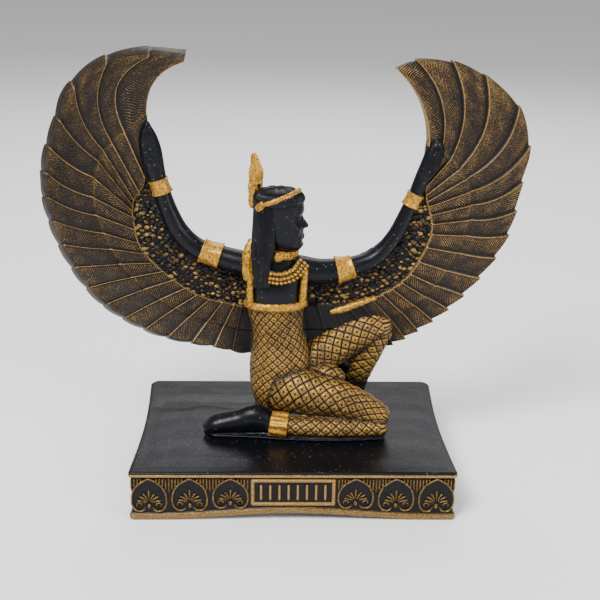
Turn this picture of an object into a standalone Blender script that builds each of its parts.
"""A kneeling winged goddess on an oblong plinth, a small cast figure. Metres, +Z up, front at -Y."""
import math

import bmesh
import bpy
import numpy as np

MERGE_DISTANCE = 0.000001

# Plinth sizes, in metres
PLINTH_WIDTH = 0.120
PLINTH_DEPTH = 0.081
PLINTH_HEIGHT = 0.0197
SIDE_HOLLOW = 0.0016
BACK_CORNER_RADIUS = 0.004
FRONT_CORNER_RADIUS = 0.0015
FRONT_COLUMNS = 11
ARCH_RISE = 0.0026
ARCH_END_FLAT = 0.009
FOOT_MOULDING_HEIGHT = 0.0026
TOP_MOULDING_HEIGHT = 0.0014
TOP_EDGE_HEIGHT = 0.0009
FRIEZE_RECESS = 0.0010
PALMETTE_RELIEF = 0.0008
PALMETTES_A_SIDE = 3
NAME_PANEL_WIDTH = 0.0310
NAME_PANEL_BORDER = 0.0014
PANEL_STROKES = 8
STROKE_MARGIN = 1.65 * NAME_PANEL_BORDER
LINE_HALF_BREADTH = 0.0006
LEAF_HALF_BREADTH = 0.0006
STRIP_SINK = 0.0006
FRIEZE_MARGIN = 0.0006
ARCH_POINTS = 8
LEAF_BEARINGS = (18, 54, 90, 126, 162)
GLUE_GAP = 0.0003

# Figure size. Its pose and carving are shares of its height: x to the right, y to the back and
# z up from its underside, each counted in 145ths of the height from underside to wing tip. The
# middle of the wings' span is set over the origin, and the plinth moves with the figure.
FIGURE_HEIGHT = 0.1455
SHARE = FIGURE_HEIGHT / 145.0
SPAN_MIDDLE = -1.85
WING_THICKNESS = 0.0046 / SHARE
FEATHER_RELIEF = 1.0
TIER_STEP = 0.9
TIP_STEP = 1.5
LATTICE_PITCH = 7.0
LATTICE_RELIEF = 0.5
LIMB_PITCH = 3.0
ARM_PITCH = 5.4
ARM_SIDES = 8
TRIM_SIDES = 6
STRAND_FLUTES = 0.06

# Each wing: ribs counted from the tip feather to the body. Every row gives a station's rib, the
# feather tip, the edge of the long feathers, the edge of the scale band, the arm line, all as
# (x, z), and how far the long feather bows.
LEFT_WING = (
    (0, (-38.9, 141.4), (-53.5, 122.1), (-53.5, 119.5), (-53.5, 119.0), 4.0),
    (1, (-51.0, 142.8), (-61.9, 115.2), (-55.0, 97.5), (-54.0, 98.0), 7.0),
    (2, (-65.6, 140.0), (-66.7, 111.4), (-57.3, 92.1), (-52.6, 94.1), 4.0),
    (3, (-77.2, 131.2), (-69.7, 108.0), (-59.4, 89.0), (-50.8, 90.3), 2.4),
    (4, (-82.7, 119.6), (-72.0, 104.2), (-60.1, 86.9), (-49.1, 86.5), 1.2),
    (6, (-88.4, 100.8), (-74.8, 90.4), (-60.2, 82.3), (-46.3, 80.3), 1.4),
    (8, (-86.6, 83.1), (-71.6, 76.5), (-58.7, 72.2), (-41.6, 73.3), 0.8),
    (11, (-74.8, 58.3), (-61.8, 58.9), (-49.9, 60.8), (-31.5, 66.5), 0.0),
    (14, (-55.2, 41.3), (-45.8, 46.1), (-37.0, 51.5), (-23.5, 64.7), 0.0),
    (17, (-30.1, 32.3), (-26.7, 39.4), (-22.8, 47.8), (-17.4, 62.3), 0.0),
    (19, (-16.2, 28.4), (-15.8, 37.2), (-15.5, 47.0), (-14.0, 60.6), 0.0),
    (20, (-7.0, 28.0), (-7.0, 37.0), (-7.0, 46.6), (-7.0, 59.0), 0.0),
)
RIGHT_WING = (
    (0, (36.6, 136.7), (49.3, 111.8), (48.8, 109.9), (48.6, 109.5), 3.0),
    (1, (43.7, 140.1), (54.3, 108.8), (48.6, 100.9), (47.5, 101.0), 4.5),
    (2, (57.0, 139.7), (57.9, 105.1), (48.6, 94.6), (45.6, 94.0), 4.5),
    (3, (69.2, 134.9), (61.5, 101.3), (48.8, 91.6), (44.3, 90.0), 5.0),
    (4, (82.3, 123.8), (64.1, 97.5), (49.2, 89.0), (43.0, 87.0), 4.5),
    (5, (87.5, 108.9), (65.4, 94.5), (50.0, 86.4), (41.5, 84.0), 3.0),
    (6, (85.8, 95.2), (67.2, 90.6), (51.0, 84.0), (40.0, 81.0), 2.0),
    (8, (82.1, 74.7), (66.7, 81.2), (51.5, 76.9), (36.5, 74.5), 1.0),
    (11, (66.5, 50.2), (60.8, 65.2), (43.5, 60.8), (28.0, 67.0), 0.0),
    (14, (49.2, 35.9), (51.8, 50.2), (34.1, 53.3), (18.0, 63.0), 0.0),
    (17, (33.0, 29.0), (33.0, 41.0), (20.0, 49.0), (9.0, 61.0), 0.0),
    (19, (15.0, 27.6), (15.0, 38.0), (9.0, 48.0), (3.0, 59.8), 0.0),
    (21, (-4.0, 27.6), (-4.0, 37.4), (-4.0, 47.0), (-4.0, 58.6), 0.0),
)
# Depth (y) of each wing's front at the arm, band, long feathers' root, their middle and their tip
LEFT_WING_DEPTHS = (4.6, 4.6, 3.0, -1.0, -6.0)
RIGHT_WING_DEPTHS = (4.6, 5.4, 7.6, 9.4, 10.5)
LEFT_BODY_DEPTH = 4.2
RIGHT_BODY_DEPTH = 4.8
BODY_RIB = 12.0
HIDDEN_RIBS = 2.0
# One feather's profile: share of the way to the next rib, height, and how far its tip runs out
FEATHER_PROFILE = ((0.0, 1.0, 0.45), (0.86, -0.1, -0.55))
# The wing from arm to tip: share, step of the tier and share of the feather relief. The scale band
# ends at BAND_EDGE and the long feathers start at ROOT_EDGE.
BAND_EDGE = 0.2
ROOT_EDGE = 0.5
WING_LEVELS = ((0.0, 0.0, 0.0), (0.19, 0.0, 0.0), (0.215, TIER_STEP, 0.3), (0.48, TIER_STEP, 0.9),
               (0.52, 0.1, 0.9), (0.76, 0.0, 1.0), (1.0, 0.0, 0.8))
ROOT_LEVEL = 3
BACK_LEVELS = (0, ROOT_LEVEL, len(WING_LEVELS) - 2, len(WING_LEVELS) - 1)
SCALE_BUMP = 0.45
CUFF_SIDES = 10
CUFF_GROOVE = 0.55

# Limbs: stations (x, y, z, half breadth in the picture plane, half depth)
TORSO = ((-5.5, 0.5, 9.0, 9.0, 8.0), (-5.5, 0.5, 18.0, 11.0, 9.6), (-5.0, 0.5, 25.8, 11.6, 9.2),
         (-5.2, 0.3, 34.0, 10.5, 7.8), (-5.9, 0.2, 40.0, 9.6, 7.2), (-6.7, 0.0, 49.0, 10.8, 7.8),
         (-6.6, -0.2, 56.5, 11.2, 8.0), (-6.5, 0.4, 63.5, 12.4, 6.6), (-6.0, 0.6, 68.0, 9.0, 5.4))
NECK = ((-4.8, 0.6, 64.0, 4.8, 4.6), (-3.6, -0.6, 71.0, 4.1, 4.0), (-3.4, -1.8, 78.0, 4.0, 4.0))
LEFT_ARM = ((-13.0, 0.8, 64.6, 4.8, 5.2), (-20.0, 1.2, 66.0, 4.6, 4.8), (-28.0, 2.2, 68.2, 4.1, 4.3),
            (-36.5, 2.8, 71.2, 3.8, 3.9), (-42.6, 3.1, 77.0, 3.7, 3.8), (-46.3, 3.1, 84.6, 3.4, 3.6),
            (-49.4, 3.0, 94.6, 3.0, 3.2))
LEFT_HAND = ((-49.3, 3.0, 93.5, 3.0, 2.9), (-50.8, 2.7, 100.0, 3.5, 2.6), (-52.6, 2.4, 109.0, 4.0, 2.0),
             (-53.4, 2.4, 114.8, 2.7, 1.7), (-53.5, 2.6, 117.6, 1.2, 1.2))
RIGHT_ARM = ((2.0, 1.0, 63.5, 5.4, 5.4), (9.0, 1.4, 62.3, 5.2, 4.8), (17.0, 2.2, 62.9, 4.6, 4.3),
             (24.0, 2.9, 64.8, 3.6, 3.8), (30.6, 3.4, 67.6, 3.2, 3.5), (37.2, 3.8, 75.2, 2.9, 3.2),
             (41.8, 4.2, 84.6, 2.7, 3.0), (45.0, 4.4, 92.0, 2.6, 2.9))
RIGHT_HAND = ((44.6, 4.4, 91.0, 2.6, 2.7), (47.2, 4.3, 99.0, 2.6, 2.4), (50.2, 4.3, 104.8, 3.5, 2.0),
              (51.9, 4.6, 109.4, 3.2, 1.8), (52.2, 4.8, 111.8, 1.6, 1.3))
NEAR_THIGH = ((-6.0, -2.6, 17.0, 10.6, 7.4), (5.0, -5.4, 15.4, 8.9, 7.6), (17.0, -7.2, 13.6, 7.7, 7.2),
              (27.0, -8.4, 10.4, 6.0, 6.2), (34.0, -9.2, 6.9, 4.7, 5.2))
NEAR_SHIN = ((33.6, -11.4, 4.0, 4.2, 4.6), (22.0, -12.2, 3.5, 4.2, 4.4), (8.0, -12.2, 3.6, 4.1, 4.2),
             (-4.0, -11.4, 4.4, 3.8, 3.8), (-10.0, -10.4, 5.0, 3.6, 3.6))
NEAR_FOOT = ((-8.6, -10.4, 4.8, 3.7, 3.8), (-14.0, -9.6, 6.2, 5.6, 4.4), (-20.0, -9.0, 4.9, 4.8, 4.5),
             (-26.0, -8.8, 4.3, 4.0, 4.7), (-30.6, -8.8, 3.2, 3.4, 4.6), (-32.6, -8.8, 2.0, 2.4, 3.8))
FAR_THIGH = ((3.0, 3.6, 20.5, 6.4, 6.0), (12.0, 6.0, 27.2, 7.5, 6.6), (22.5, 7.6, 33.8, 7.6, 6.6),
             (31.0, 8.4, 38.0, 6.6, 6.2), (35.4, 8.6, 38.8, 5.3, 5.2))
FAR_SHIN = ((34.4, 8.8, 36.6, 5.6, 5.2), (28.4, 9.4, 27.6, 7.4, 5.0), (25.6, 10.8, 18.0, 6.4, 4.8),
            (25.2, 13.2, 9.0, 4.4, 4.2), (25.4, 15.0, 2.6, 3.2, 3.4))
FAR_FOOT = ((20.6, 15.0, 2.6, 2.7, 3.3), (25.0, 15.2, 2.6, 2.9, 3.4), (29.6, 15.6, 1.9, 2.1, 3.2))
LAP_KNOT = ((8.5, -1.0, 20.0, 3.6, 4.0), (14.5, -1.2, 21.0, 4.4, 4.4), (18.4, -0.6, 19.6, 2.8, 3.2))
ROBE_FOLD = ((15.0, 5.4, 43.4, 1.5, 2.0), (15.6, 5.0, 46.2, 1.5, 2.0), (22.8, 4.8, 47.4, 1.5, 2.0),
             (31.6, 5.4, 50.8, 1.2, 1.8))
WIG_FALL = ((-10.6, -1.6, 93.6, 4.6, 7.6), (-11.0, -1.6, 84.0, 4.3, 8.2), (-11.6, -1.2, 73.0, 4.3, 8.4),
            (-11.8, 0.4, 65.0, 4.2, 8.0), (-11.8, 1.6, 60.0, 3.6, 7.4))
LAPPET = ((-11.6, -5.6, 76.0, 3.2, 3.4), (-11.9, -7.2, 68.0, 3.0, 2.4), (-12.0, -8.0, 59.4, 2.9, 1.6))
FEATHER = ((-15.6, 0.2, 88.0, 1.2, 1.2), (-15.2, 0.2, 91.4, 2.0, 1.2), (-14.3, 0.2, 97.0, 2.8, 1.2),
           (-14.3, 0.2, 102.6, 2.4, 1.1), (-15.0, 0.2, 107.2, 1.0, 0.8))
# Head sections: height, face front, back of skull, half width
HEAD = ((72.0, 1.6, -6.0, 2.4), (73.2, 2.9, -8.0, 4.0), (75.2, 3.0, -9.6, 5.2), (78.2, 3.4, -11.0, 6.0),
        (81.5, 3.4, -12.2, 6.4), (84.8, 2.9, -13.2, 6.7), (87.0, 3.5, -13.8, 6.9), (91.0, 3.3, -14.2, 7.0))
# Wig over the crown: height, front, back, half width
CROWN = ((89.4, 2.2, -14.9, 7.4), (91.2, 3.6, -15.3, 7.9), (93.6, 3.2, -15.3, 7.6), (95.4, 1.5, -13.8, 6.5),
         (96.8, -1.8, -10.8, 4.0))
NOSE = ((2.2, -2.0, 85.4, 0.9, 0.9), (3.9, -2.0, 81.0, 1.1, 1.2))
HEAD_MIDDLE = -2.0
# Bands: points (x, y, z) along the middle, then half breadth and half thickness
DRESS_BAND = ((-18.0, -1.0, 50.6), (-15.0, -5.6, 50.8), (-6.6, -8.2, 51.0), (1.4, -5.6, 50.8),
              (4.4, -1.0, 50.6))
RIGHT_STRAP = ((3.2, -5.2, 51.5), (3.6, -6.0, 58.0), (4.0, -4.6, 65.0))
LEFT_STRAP = ((-16.2, -5.2, 51.5), (-16.4, -6.0, 57.0), (-16.0, -5.4, 61.5))
COLLAR = ((-9.2, -7.8, 63.2), (-5.0, -7.9, 62.8), (0.4, -7.0, 64.6), (3.6, -4.6, 68.0))
COLLAR_BACK = ((-17.2, -3.4, 62.0), (-18.0, -2.2, 66.6), (-16.6, -0.8, 71.4), (-15.0, 0.0, 74.0))
HEADBAND = ((-13.4, -7.2, 90.0), (-8.7, -9.5, 92.0), (-4.3, -8.9, 94.0), (-0.6, -6.6, 95.3),
            (1.4, -3.6, 95.8), (1.7, -2.0, 95.8))
HEADBAND_SECTION = (0.8, 0.95)
HEADBAND_SLOPE = (-0.37, 0.0, 0.93)
BAND_TIE = ((-13.6, -8.8, 89.0), (-11.4, -9.4, 91.4))
PENDANT = ((-5.9, -5.2, 70.0, 1.2, 1.2), (-4.7, -5.2, 70.0, 1.2, 1.2))

COLLECTION_NAME = "winged_goddess_statue"


def clear_scene():
    """Empty the scene."""
    for item in list(bpy.data.objects):
        bpy.data.objects.remove(item, do_unlink=True)


def new_collection(name):
    """A collection linked to the scene."""
    collection = bpy.data.collections.new(name)
    bpy.context.scene.collection.children.link(collection)
    return collection


def resin(name, colour, roughness, metallic):
    """A painted resin material."""
    material = bpy.data.materials.new(name)
    material.use_nodes = True
    shader = material.node_tree.nodes["Principled BSDF"]
    shader.inputs["Base Color"].default_value = (*colour, 1.0)
    shader.inputs["Roughness"].default_value = roughness
    shader.inputs["Metallic"].default_value = metallic
    return material


def smooth(stations, values, where):
    """Values at the places asked for, on a smooth curve through the stations."""
    stations = np.asarray(stations, float)
    values = np.asarray(values, float)
    where = np.clip(np.asarray(where, float), stations[0], stations[-1])
    slopes = np.gradient(values, stations, axis=0)
    k = np.clip(np.searchsorted(stations, where, side="right") - 1, 0, len(stations) - 2)
    span = stations[k + 1] - stations[k]
    t = (where - stations[k]) / span
    if values.ndim > 1:
        t = t[:, None]
        span = span[:, None]
    start = values[k] * (2 * t**3 - 3 * t**2 + 1) + slopes[k] * span * (t**3 - 2 * t**2 + t)
    return start + values[k + 1] * (3 * t**2 - 2 * t**3) + slopes[k + 1] * span * (t**3 - t**2)


def solid(name, points, faces, collection, scale, lift):
    """A mesh object from points and faces, its doubles merged and its faces turned outward."""
    data = bpy.data.meshes.new(name)
    placed = np.asarray(points, float) * scale + np.array([-SPAN_MIDDLE * SHARE, 0.0, lift])
    data.from_pydata([tuple(point) for point in placed], [], faces)
    shell = bmesh.new()
    shell.from_mesh(data)
    bmesh.ops.remove_doubles(shell, verts=shell.verts, dist=MERGE_DISTANCE)
    bmesh.ops.recalc_face_normals(shell, faces=shell.faces)
    shell.to_mesh(data)
    shell.free()
    item = bpy.data.objects.new(name, data)
    collection.objects.link(item)
    return item


def tube_faces(rings, sides, quilted):
    """Faces of a closed tube of rings with a fan at each end; a quilted one is split diamond-wise."""
    faces = []
    for i in range(rings - 1):
        for j in range(sides):
            a = i * sides + j
            b = i * sides + (j + 1) % sides
            c = b + sides
            d = a + sides
            if not quilted:
                faces.append((a, b, c, d))
            elif (i + j) % 2 == 0:
                faces.extend([(a, b, d), (b, c, d)])
            else:
                faces.extend([(a, b, c), (a, c, d)])
    start = rings * sides
    last = (rings - 1) * sides
    for j in range(sides):
        k = (j + 1) % sides
        faces.append((start, k, j))
        faces.append((start + 1, last + j, last + k))
    return faces


def limb(name, stations, collection, pitch=LIMB_PITCH, sides=10, relief=0.0, ends=(0.7, 0.7), flutes=0.0,
         dome_angles=(20, 55), facing=(0.0, 1.0, 0.0)):
    """A closed round limb through its stations, with domed ends.

    facing is the direction that the half depth is measured along, relief quilts it with raised
    diamonds, and flutes is the depth of strands that run along it, as a share of its breadth.
    """
    table = np.asarray(stations, float)
    steps = np.linalg.norm(np.diff(table[:, :3], axis=0), axis=1)
    along = np.concatenate([[0.0], np.cumsum(steps)])
    count = max(3, int(round(along[-1] / pitch)) + 1)
    rows = smooth(along, table, np.linspace(0.0, along[-1], count))
    centres, radii = rows[:, :3], rows[:, 3:]
    tangents = np.gradient(centres, axis=0)
    tangents /= np.linalg.norm(tangents, axis=1)[:, None]
    domes = [(math.cos(math.radians(angle)), math.sin(math.radians(angle))) for angle in dome_angles]
    places, sizes, heads = [], [], []
    for reach, size in domes:
        places.append(centres[0] - tangents[0] * reach * radii[0].min() * ends[0])
        sizes.append(radii[0] * size)
        heads.append(tangents[0])
    for row in range(count):
        places.append(centres[row])
        sizes.append(radii[row])
        heads.append(tangents[row])
    for reach, size in reversed(domes):
        places.append(centres[-1] + tangents[-1] * reach * radii[-1].min() * ends[1])
        sizes.append(radii[-1] * size)
        heads.append(tangents[-1])
    points = []
    for i, (place, size, head) in enumerate(zip(places, sizes, heads)):
        across = np.cross(head, facing)
        across /= np.linalg.norm(across)
        deep = np.cross(across, head)
        for j in range(sides):
            angle = 2.0 * math.pi * j / sides
            swell = 1.0
            if relief and 1 < i < len(places) - 2 and (i + j) % 2 == 0:
                swell += relief / size.min()
            if flutes:
                swell += flutes * (1 if j % 2 else -1)
            points.append(place + across * size[0] * math.cos(angle) * swell
                          + deep * size[1] * math.sin(angle) * swell)
    rings = len(places)
    points.append(centres[0] - tangents[0] * radii[0].min() * ends[0])
    points.append(centres[-1] + tangents[-1] * radii[-1].min() * ends[1])
    return solid(name, points, tube_faces(rings, sides, bool(relief)), collection, SHARE, figure_lift())


def figure_lift():
    """Height of the figure's underside."""
    return PLINTH_HEIGHT + GLUE_GAP


def dress_limb(name, stations, collection, girth_sides):
    """A limb under the dress, quilted with the lattice."""
    return limb(name, stations, collection, LATTICE_PITCH / 2.0, girth_sides, LATTICE_RELIEF)


def band(name, path, collection, half_breadth, half_thickness, pitch=4.0):
    """A strap or collar: a flat limb along its path."""
    stations = [(*point, half_breadth, half_thickness) for point in path]
    return limb(name, stations, collection, pitch, TRIM_SIDES, ends=(0.3, 0.3), dome_angles=())


def cuff(name, stations, place, length, extra, collection, ridges=1):
    """A bangle round a limb, at a share of the limb's length, standing proud of it."""
    table = np.asarray(stations, float)
    steps = np.linalg.norm(np.diff(table[:, :3], axis=0), axis=1)
    along = np.concatenate([[0.0], np.cumsum(steps)])
    middle = place * along[-1]
    rows = []
    for offset in np.linspace(-0.5, 0.5, 2 * ridges + 1):
        row = smooth(along, table, [middle + offset * length])[0]
        on_ridge = ridges == 1 or int(round((offset + 0.5) * 2 * ridges)) % 2
        swell = extra if on_ridge else extra * CUFF_GROOVE
        rows.append((*row[:3], row[3] + swell, row[4] + swell))
    return limb(name, rows, collection, length / (2 * ridges), CUFF_SIDES, ends=(0.05, 0.05), dome_angles=())


def skull(name, sections, collection, sides, middle):
    """A closed form of level sections facing +X: height, front, back and half width of each."""
    points = []
    for height, front, back, half in sections:
        centre = (front + back) / 2.0
        reach = (front - back) / 2.0
        for j in range(sides):
            angle = 2.0 * math.pi * j / sides
            points.append((centre + reach * math.cos(angle), middle + half * math.sin(angle), height))
    for height, front, back in (sections[0][:3], sections[-1][:3]):
        points.append(((front + back) / 2.0, middle, height))
    faces = tube_faces(len(sections), sides, False)
    return solid(name, points, faces, collection, SHARE, figure_lift())


def wing_rows(table, depths, body_depth, ribs, outward):
    """The wing's five rows at the ribs asked for: arm, band, root, middle and tip, each (x, y, z)."""
    stations = [row[0] for row in table]
    tip, root, inner, arm = (smooth(stations, [row[k] for row in table], ribs) for k in (1, 2, 3, 4))
    bow = smooth(stations, [row[5] for row in table], ribs)[:, None]
    run = tip - root
    side = np.stack([-run[:, 1], run[:, 0]], axis=1) * outward
    middle = (tip + root) / 2.0 + bow * side / np.linalg.norm(side, axis=1)[:, None]
    near_body = np.clip((ribs - BODY_RIB) / (stations[-1] - BODY_RIB), 0.0, 1.0)
    rows = []
    for flat, depth in zip((arm, inner, root, middle, tip), depths):
        y = depth + (body_depth - depth) * near_body
        rows.append(np.stack([flat[:, 0], y, flat[:, 1]], axis=1))
    return rows


def wing_plate(rows, v):
    """Points of the wing's plate at share v of the way from the arm to the feather tips."""
    arm, inner, root, middle, tip = rows
    if v <= BAND_EDGE:
        return arm + (inner - arm) * (v / BAND_EDGE)
    if v <= ROOT_EDGE:
        return inner + (root - inner) * ((v - BAND_EDGE) / (ROOT_EDGE - BAND_EDGE))
    t = (v - ROOT_EDGE) / (1.0 - ROOT_EDGE)
    bend = 2.0 * middle - (root + tip) / 2.0
    return root * (1 - t) ** 2 + bend * 2 * t * (1 - t) + tip * t**2


def wing(name, table, depths, body_depth, outward, collection):
    """One wing: a bent plate with shingled feathers in tiers on its front and a plain back."""
    last = table[-1][0]
    ribs, lifts, tips = [], [], []
    for feather in range(last):
        for share, height, reach in FEATHER_PROFILE:
            ribs.append(feather + share)
            lifts.append(height * FEATHER_RELIEF)
            tips.append(reach * TIP_STEP)
    ribs.append(float(last))
    lifts.append(FEATHER_RELIEF)
    tips.append(0.0)
    ribs, lifts, tips = np.array(ribs), np.array(lifts), np.array(tips)
    rows = wing_rows(table, depths, body_depth, ribs, outward)
    plates = np.array([wing_plate(rows, v) for v, _, _ in WING_LEVELS])
    ahead = plates[-1] - plates[-2]
    ahead /= np.linalg.norm(ahead, axis=1)[:, None]
    plates[-1] += ahead * tips[:, None]
    along = np.gradient(plates, axis=1)
    outwards = np.gradient(plates, axis=0)
    normals = np.cross(along, outwards)
    normals /= np.linalg.norm(normals, axis=2)[:, :, None]
    normals *= -np.sign(normals[:, :, 1:2])
    normals[:ROOT_LEVEL] = normals[ROOT_LEVEL]
    columns = len(ribs)
    front = plates.copy()
    for level, (_, step, feathered) in enumerate(WING_LEVELS):
        rise = step + lifts * feathered
        if feathered == 0.0:
            bump = SCALE_BUMP * 2.0 * ((np.arange(columns) + level) % 2)
            breadth = np.linalg.norm(rows[1] - rows[0], axis=1)
            rise = bump * np.clip((breadth - 2.0) / 4.0, 0.0, 1.0)
        front[level] += normals[level] * (rise * np.clip((last - ribs) / HIDDEN_RIBS, 0.0, 1.0))[:, None]
    keep = BACK_LEVELS
    back = plates[list(keep)] - normals[list(keep)] * WING_THICKNESS
    points = np.concatenate([front.reshape(-1, 3), back.reshape(-1, 3)])
    base = len(WING_LEVELS) * columns
    faces = []
    for level in range(len(WING_LEVELS) - 1):
        for column in range(columns - 1):
            a = level * columns + column
            faces.append((a, a + 1, a + 1 + columns, a + columns))
    for level in range(len(keep) - 1):
        for column in range(columns - 1):
            a = base + level * columns + column
            faces.append((a, a + columns, a + 1 + columns, a + 1))
    for column in range(columns - 1):
        a, b = column, base + column
        faces.append((a, b, b + 1, a + 1))
        a = (len(WING_LEVELS) - 1) * columns + column
        b = base + (len(keep) - 1) * columns + column
        faces.append((a, a + 1, b + 1, b))
    for side in (0, columns - 1):
        for k in range(len(keep) - 1):
            rear = base + k * columns + side
            for level in range(keep[k], keep[k + 1]):
                faces.append((level * columns + side, (level + 1) * columns + side, rear))
            faces.append((keep[k + 1] * columns + side, rear + columns, rear))
    return solid(name, points, faces, collection, SHARE, figure_lift())


def far_side(path):
    """The rest of a band round the head, mirrored to the head's other side."""
    return tuple((x, 2.0 * HEAD_MIDDLE - y, z) for x, y, z in reversed(path[:-1]))


def wing_forms(collection):
    """Both wings."""
    return [wing("left_wing_form", LEFT_WING, LEFT_WING_DEPTHS, LEFT_BODY_DEPTH, 1.0, collection),
            wing("right_wing_form", RIGHT_WING, RIGHT_WING_DEPTHS, RIGHT_BODY_DEPTH, -1.0, collection)]


def arm_forms(collection):
    """Arms and hands with their armlets and bracelets."""
    return [
        limb("left_arm_form", LEFT_ARM, collection, ARM_PITCH, ARM_SIDES, dome_angles=()),
        limb("left_hand_form", LEFT_HAND, collection, ARM_PITCH, ARM_SIDES, ends=(0.5, 1.0)),
        limb("right_arm_form", RIGHT_ARM, collection, ARM_PITCH, ARM_SIDES, dome_angles=()),
        limb("right_hand_form", RIGHT_HAND, collection, ARM_PITCH, ARM_SIDES, ends=(0.5, 1.0)),
        cuff("left_armlet_form", LEFT_ARM, 0.36, 7.4, 0.9, collection),
        cuff("right_armlet_form", RIGHT_ARM, 0.30, 6.4, 0.8, collection),
        cuff("left_bracelet_form", LEFT_ARM, 0.965, 5.2, 0.9, collection),
        cuff("right_bracelet_form", RIGHT_ARM, 0.96, 5.0, 0.8, collection),
    ]


def leg_forms(collection):
    """Legs under the dress, feet, anklet, and the dress gathered over the lap."""
    return [
        dress_limb("near_thigh_form", NEAR_THIGH, collection, 12),
        dress_limb("near_shin_form", NEAR_SHIN, collection, 8),
        dress_limb("far_thigh_form", FAR_THIGH, collection, 12),
        dress_limb("far_shin_form", FAR_SHIN, collection, 8),
        limb("near_foot_form", NEAR_FOOT, collection, 4.8, 8, dome_angles=(45,)),
        limb("far_foot_form", FAR_FOOT, collection, 4.0, 8, dome_angles=(45,)),
        limb("lap_knot_form", LAP_KNOT, collection, 3.6, 8),
        limb("robe_fold_form", ROBE_FOLD, collection, 3.6, TRIM_SIDES, dome_angles=(45,)),
        cuff("anklet_form", NEAR_SHIN, 0.885, 6.4, 1.3, collection, 3),
    ]


def head_forms(collection):
    """Neck, head, wig, headband and feather."""
    headband = [(*point, *HEADBAND_SECTION) for point in HEADBAND + far_side(HEADBAND)]
    return [
        limb("neck_form", NECK, collection, 4.0, dome_angles=()),
        skull("head_form", HEAD, collection, 12, HEAD_MIDDLE),
        skull("crown_form", CROWN, collection, 14, HEAD_MIDDLE),
        limb("nose_form", NOSE, collection, 2.6, TRIM_SIDES, ends=(0.7, 0.5), dome_angles=(45,)),
        limb("wig_fall_form", WIG_FALL, collection, 10.0, 16, ends=(0.1, 0.3), flutes=STRAND_FLUTES),
        limb("lappet_form", LAPPET, collection, 6.0, 10, ends=(0.1, 0.2), flutes=STRAND_FLUTES),
        limb("headband_form", headband, collection, LIMB_PITCH, TRIM_SIDES, dome_angles=(),
             facing=HEADBAND_SLOPE),
        band("band_tie_form", BAND_TIE, collection, 1.9, 0.8),
        limb("feather_form", FEATHER, collection, 4.0, TRIM_SIDES, dome_angles=(40,)),
    ]


def jewel_forms(collection):
    """Dress band, straps, collar, choker and pendant."""
    return [
        band("dress_band_form", DRESS_BAND, collection, 1.6, 1.1),
        band("right_strap_form", RIGHT_STRAP, collection, 1.3, 1.5, 5.0),
        band("left_strap_form", LEFT_STRAP, collection, 1.3, 1.5, 5.0),
        band("collar_form", COLLAR, collection, 2.4, 1.2),
        band("collar_back_form", COLLAR_BACK, collection, 2.2, 1.6),
        cuff("choker_form", NECK, 0.52, 2.8, 0.8, collection),
        limb("pendant_form", PENDANT, collection, 1.0, TRIM_SIDES, dome_angles=(45,)),
    ]


def figure_parts(collection):
    """Every form that is fused into the cast figure."""
    groups = (wing_forms, arm_forms, leg_forms, head_forms, jewel_forms)
    return [form for group in groups for form in group(collection)]


def underside_cutter(collection):
    """A slab that levels everything below the figure's underside."""
    half = FIGURE_HEIGHT
    bpy.ops.mesh.primitive_cube_add(size=2.0 * half, location=(0.0, 0.0, figure_lift() - half))
    slab = bpy.context.object
    slab.name = "underside_cutter"
    for owner in list(slab.users_collection):
        owner.objects.unlink(slab)
    collection.objects.link(slab)
    return slab


def winged_figure(collection, tools, material):
    """The whole cast figure as one solid."""
    forms = new_collection("figure_forms")
    body = limb("winged_figure", TORSO, collection, LATTICE_PITCH / 2.0, 16, LATTICE_RELIEF)
    body.data.materials.append(material)
    for part in figure_parts(forms):
        part.hide_render = True
        part.display_type = "WIRE"
    union = body.modifiers.new("Fuse", "BOOLEAN")
    union.operation = "UNION"
    union.operand_type = "COLLECTION"
    union.collection = forms
    union.solver = "EXACT"
    slab = underside_cutter(tools)
    slab.hide_render = True
    slab.display_type = "WIRE"
    level = body.modifiers.new("Level underside", "BOOLEAN")
    level.operation = "DIFFERENCE"
    level.object = slab
    level.solver = "EXACT"
    return body


def plinth_plan(inset):
    """The plinth's plan, drawn in by inset: front left to right, right side, back, left side."""
    half, deep = PLINTH_WIDTH / 2.0, PLINTH_DEPTH / 2.0
    near, far = FRONT_CORNER_RADIUS, BACK_CORNER_RADIUS
    span = half - ARCH_END_FLAT
    xs = np.concatenate([[-half + far], np.linspace(-span, span, FRONT_COLUMNS - 2), [half - far]])
    front = [(-half + near, -deep + inset)] + [(x, -deep + inset) for x in xs]
    front += [(half - near, -deep + inset)]
    side = []
    for t in np.linspace(0.0, 1.0, 6):
        y = -deep + near + t * (PLINTH_DEPTH - near - far)
        side.append((half - inset - SIDE_HOLLOW * math.sin(math.pi * t), y))
    turn = math.sqrt(0.5)
    side.append((half - far + (far - inset) * turn, deep - far + (far - inset) * turn))
    back = [(x, deep - inset) for x in reversed(xs)]
    left = [(-x, y) for x, y in reversed(side)]
    return np.array(front + side + back + left)


def arch(x):
    """How far the underside rises at x: a long low wave between two flat ends."""
    span = PLINTH_WIDTH / 2.0 - ARCH_END_FLAT
    return np.where(np.abs(x) < span, ARCH_RISE * (0.5 + 0.5 * np.cos(np.pi * x / span)), 0.0)


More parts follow.
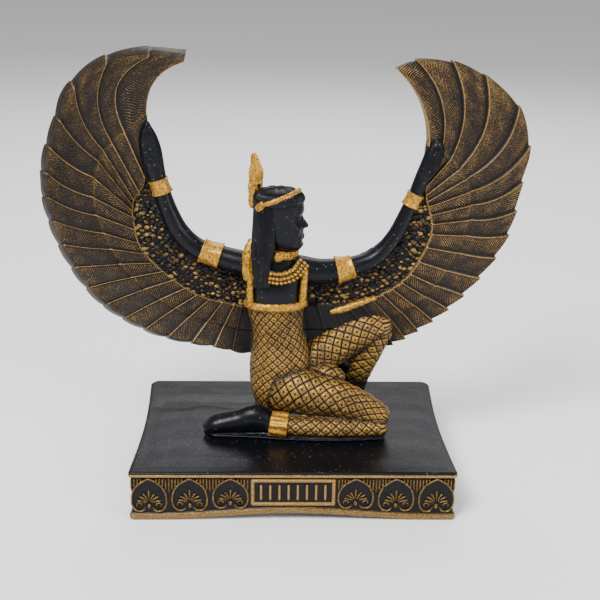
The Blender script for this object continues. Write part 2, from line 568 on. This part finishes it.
def frieze_levels():
    """Rows of the plinth's wall: height, how far in, and how much of the arch it follows."""
    top = PLINTH_HEIGHT
    lip = top - TOP_EDGE_HEIGHT
    head = lip - TOP_MOULDING_HEIGHT
    return ((0.0, 0.0006, 1.0), (0.0005, 0.0, 1.0), (FOOT_MOULDING_HEIGHT, 0.0, 1.0),
            (FOOT_MOULDING_HEIGHT + 0.0004, FRIEZE_RECESS, 1.0),
            (head - 0.0004, FRIEZE_RECESS, 0.0), (head, 0.0001, 0.0),
            (lip, 0.0001, 0.0), (lip + 0.0003, 0.0005, 0.0), (top, 0.0008, 0.0))


def plinth_body(collection, material):
    """The moulded block with its arched underside and sunk frieze."""
    plan = plinth_plan(0.0)
    count = len(plan)
    points, faces = [], []
    for height, inset, follow in frieze_levels():
        ring = plinth_plan(inset)
        rise = arch(plan[:, 0]) * follow
        points.extend((x, y, height + lift) for (x, y), lift in zip(ring, rise))
    rows = len(frieze_levels())
    for row in range(rows - 1):
        for k in range(count):
            a, b = row * count + k, row * count + (k + 1) % count
            faces.append((a, b, b + count, a + count))
    faces.append(tuple(range((rows - 1) * count, rows * count)))
    columns = FRONT_COLUMNS
    side = (count - 2 * columns - 2) // 2
    back_start = columns + 2 + side
    for k in range(columns - 1):
        front, rear = 1 + k, back_start + columns - 1 - k
        faces.append((front + 1, front, rear, rear - 1))
    right = list(range(columns, back_start + 1))
    faces.append(tuple(reversed(right)))
    left = list(range(back_start + columns - 1, count)) + [0, 1]
    faces.append(tuple(reversed(left)))
    block = solid("plinth", points, faces, collection, 1.0, 0.0)
    block.data.materials.append(material)
    return block


def relief_strip(name, path, half_breadth, collection):
    """A raised line on the front frieze, of ridge section, along (x, z) points."""
    path = np.asarray(path, float)
    ahead = np.gradient(path, axis=0)
    ahead /= np.linalg.norm(ahead, axis=1)[:, None]
    side = np.stack([-ahead[:, 1], ahead[:, 0]], axis=1) * half_breadth
    floor = -PLINTH_DEPTH / 2.0 + FRIEZE_RECESS
    points, faces = [], []
    for (x, z), (dx, dz) in zip(path, side):
        points += [(x + dx, floor + STRIP_SINK, z + dz), (x - dx, floor + STRIP_SINK, z - dz)]
        points.append((x, floor - PALMETTE_RELIEF, z))
    for k in range(len(path) - 1):
        a = 3 * k
        for j in range(3):
            faces.append((a + j, a + (j + 1) % 3, a + 3 + (j + 1) % 3, a + 3 + j))
    end = 3 * (len(path) - 1)
    faces.extend([(2, 1, 0), (end, end + 1, end + 2)])
    return solid(name, points, faces, collection, 1.0, 0.0)


def palmette(name, middle, foot, head, width, collection):
    """An arch of horseshoe outline with a fan of five leaves inside."""
    strips = []
    tall = head - foot
    angles = np.radians(np.linspace(-38.0, 218.0, ARCH_POINTS))
    radius = width / 2.0
    centre = head - radius
    arc = [(middle + radius * math.cos(a), centre + radius * math.sin(a)) for a in angles]
    arc = [(middle + radius * 0.98, foot)] + arc + [(middle - radius * 0.98, foot)]
    strips.append(relief_strip(name + "_arch", arc, LINE_HALF_BREADTH, collection))
    knob = foot + 0.22 * tall
    for turn in LEAF_BEARINGS:
        bearing = math.radians(turn)
        reach = radius * (0.92 if turn == 90 else 0.78)
        start = (middle + 0.15 * reach * math.cos(bearing), knob + 0.15 * reach * math.sin(bearing))
        tip = (middle + reach * math.cos(bearing), knob + reach * math.sin(bearing) + 0.12 * tall)
        strips.append(relief_strip(f"{name}_leaf_{turn}", [start, tip], LEAF_HALF_BREADTH, collection))
    return strips


def front_frieze(collection):
    """Palmettes on each side of a framed panel of plain strokes."""
    foot = FOOT_MOULDING_HEIGHT + FRIEZE_MARGIN
    head = PLINTH_HEIGHT - TOP_EDGE_HEIGHT - TOP_MOULDING_HEIGHT - FRIEZE_MARGIN
    panel = NAME_PANEL_WIDTH / 2.0
    space = (PLINTH_WIDTH / 2.0 - panel) / PALMETTES_A_SIDE
    strips = []
    for side in (-1, 1):
        for k in range(PALMETTES_A_SIDE):
            middle = side * (panel + space * (k + 0.5))
            low = foot + float(arch(middle))
            name = f"palmette_{'left' if side < 0 else 'right'}_{k}"
            strips += palmette(name, middle, low, head, space * 0.86, collection)
    low = foot + ARCH_RISE
    mid = (low + head) / 2.0
    edge = NAME_PANEL_BORDER / 2.0
    for name, z in (("panel_top", head - edge), ("panel_foot", low + edge)):
        strips.append(relief_strip(name, [(-panel, z), (panel, z)], edge, collection))
    for name, x in (("panel_left", -panel + edge), ("panel_right", panel - edge)):
        strips.append(relief_strip(name, [(x, low), (x, head)], edge, collection))
    reach = (head - low) / 2.0 - STROKE_MARGIN
    spacing = (NAME_PANEL_WIDTH - 3.0 * NAME_PANEL_BORDER) / PANEL_STROKES
    for k in range(PANEL_STROKES):
        x = (k - (PANEL_STROKES - 1) / 2.0) * spacing
        stroke = [(x, mid - reach), (x, mid + reach)]
        strips.append(relief_strip(f"panel_stroke_{k}", stroke, LEAF_HALF_BREADTH, collection))
    return strips


def plinth(collection, material):
    """The plinth as one solid."""
    block = plinth_body(collection, material)
    forms = new_collection("frieze_forms")
    for strip in front_frieze(forms):
        strip.hide_render = True
        strip.display_type = "WIRE"
    union = block.modifiers.new("Fuse", "BOOLEAN")
    union.operation = "UNION"
    union.operand_type = "COLLECTION"
    union.collection = forms
    union.solver = "EXACT"
    return block


def main():
    """Build the plinth and the figure."""
    clear_scene()
    parts = new_collection(COLLECTION_NAME)
    tools = new_collection("cutters")
    plinth(parts, resin("black_resin_plinth", (0.014, 0.014, 0.019), 0.45, 0.0))
    winged_figure(parts, tools, resin("black_and_gold_resin", (0.12, 0.085, 0.035), 0.42, 0.3))


main()
